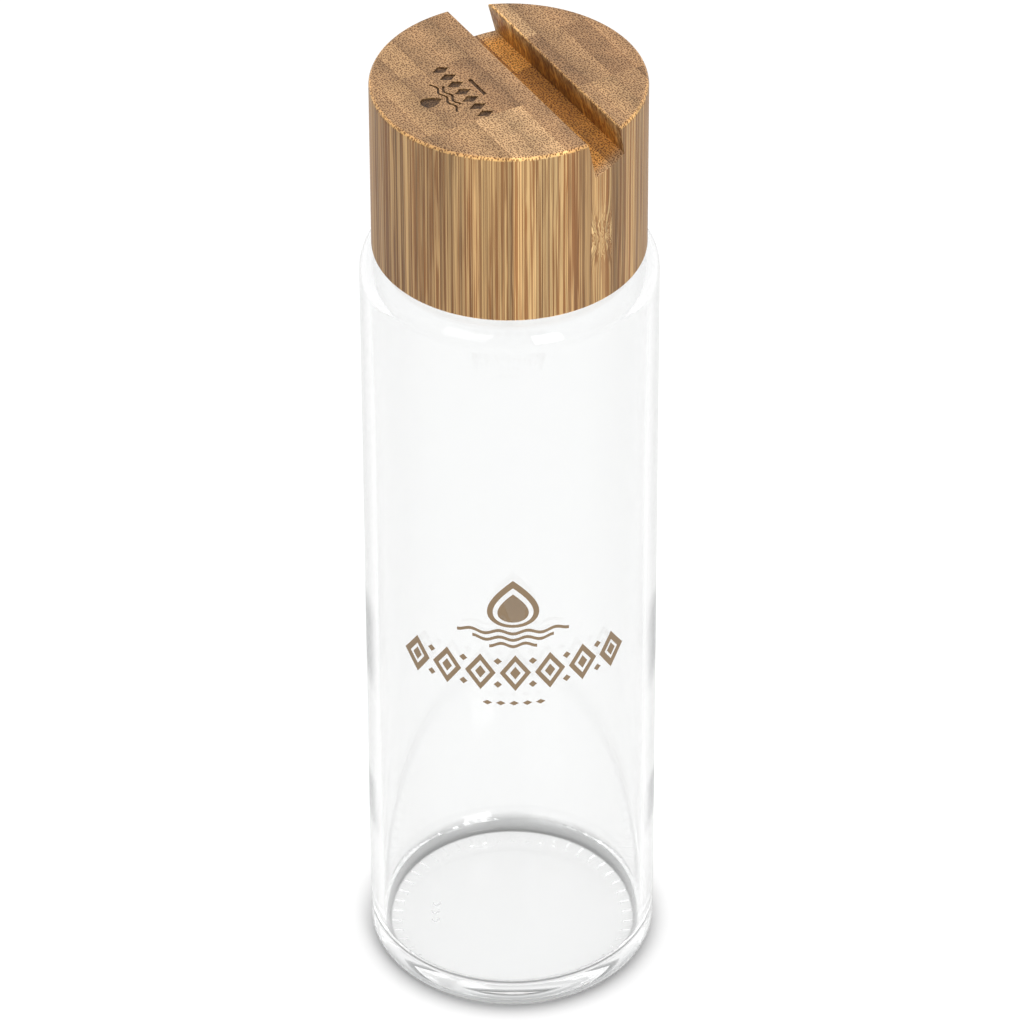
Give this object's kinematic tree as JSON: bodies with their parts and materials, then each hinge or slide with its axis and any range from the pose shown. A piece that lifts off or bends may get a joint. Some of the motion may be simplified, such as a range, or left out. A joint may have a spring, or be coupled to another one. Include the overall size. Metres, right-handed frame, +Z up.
{
  "type": "glass water bottle",
  "caption": "Straight clear glass water bottle with a screw lid of laminated bamboo; a slanted slot across the lid's top holds a phone upright.",
  "frame": {"origin": "centre of the standing ring under the base, on the table", "axes": "+Z up along the bottle's axis; -Y is the front, which carries the printed ornament; the closed lid's slot runs 59.4 degrees clockwise from +X"},
  "size_m": [0.066, 0.066, 0.2375],
  "materials": {
    "clear_glass": "clear, polished",
    "insert_plastic": "moulded, satin",
    "silicone": "matte, translucent white",
    "bamboo_tan": "fine sanded, lightly oiled bamboo",
    "bamboo_brown": "fine sanded, lightly oiled bamboo",
    "bamboo_pale": "fine sanded, lightly oiled bamboo",
    "bamboo_pink": "fine sanded, lightly oiled bamboo",
    "bamboo_straw": "fine sanded, lightly oiled bamboo"
  },
  "bodies": {
    "bottle": {"glass_bottle": "clear_glass"},
    "gasket": {"silicone_gasket": "silicone"},
    "lid": {"threaded_insert": "insert_plastic", "bamboo_left_5_front": "bamboo_tan", "bamboo_left_5_middle": "bamboo_tan", "bamboo_left_5_back": "bamboo_tan", "bamboo_left_4_front": "bamboo_tan", "bamboo_left_4_middle": "bamboo_straw", "bamboo_left_4_back": "bamboo_tan", "bamboo_left_3_front": "bamboo_straw", "bamboo_left_3_middle": "bamboo_tan", "bamboo_left_3_back": "bamboo_straw", "bamboo_left_2_front": "bamboo_pale", "bamboo_left_2_middle": "bamboo_tan", "bamboo_left_2_back": "bamboo_tan", "bamboo_left_1_front": "bamboo_pale", "bamboo_left_1_middle": "bamboo_brown", "bamboo_left_1_back": "bamboo_tan", "bamboo_centre_front": "bamboo_pink", "bamboo_centre_middle": "bamboo_pink", "bamboo_centre_back": "bamboo_pink", "bamboo_right_1_front": "bamboo_pale", "bamboo_right_1_middle": "bamboo_tan", "bamboo_right_1_back": "bamboo_brown", "bamboo_right_2_front": "bamboo_tan", "bamboo_right_2_middle": "bamboo_brown", "bamboo_right_2_back": "bamboo_pale", "bamboo_right_3_front": "bamboo_straw", "bamboo_right_3_middle": "bamboo_tan", "bamboo_right_3_back": "bamboo_tan", "bamboo_right_4_front": "bamboo_tan", "bamboo_right_4_middle": "bamboo_brown", "bamboo_right_4_back": "bamboo_pink", "bamboo_right_5_front": "bamboo_brown", "bamboo_right_5_middle": "bamboo_pink", "bamboo_right_5_back": "bamboo_tan"}
  },
  "joints": [
    {"name": "lid_lift", "type": "slide", "parent": "bottle", "child": "gasket", "axis": [0, 0, 1], "range_m": [0, 0.025]},
    {"name": "lid_turn", "type": "hinge", "parent": "gasket", "child": "lid", "pos_m": [0, 0, 0.2], "axis": [0, 0, 1], "range_deg": [0, 1800]}
  ],
  "couplings": [
    {"joint": "lid_lift", "follows": "lid_turn", "m_per_rad": 0.00079577}
  ]
}
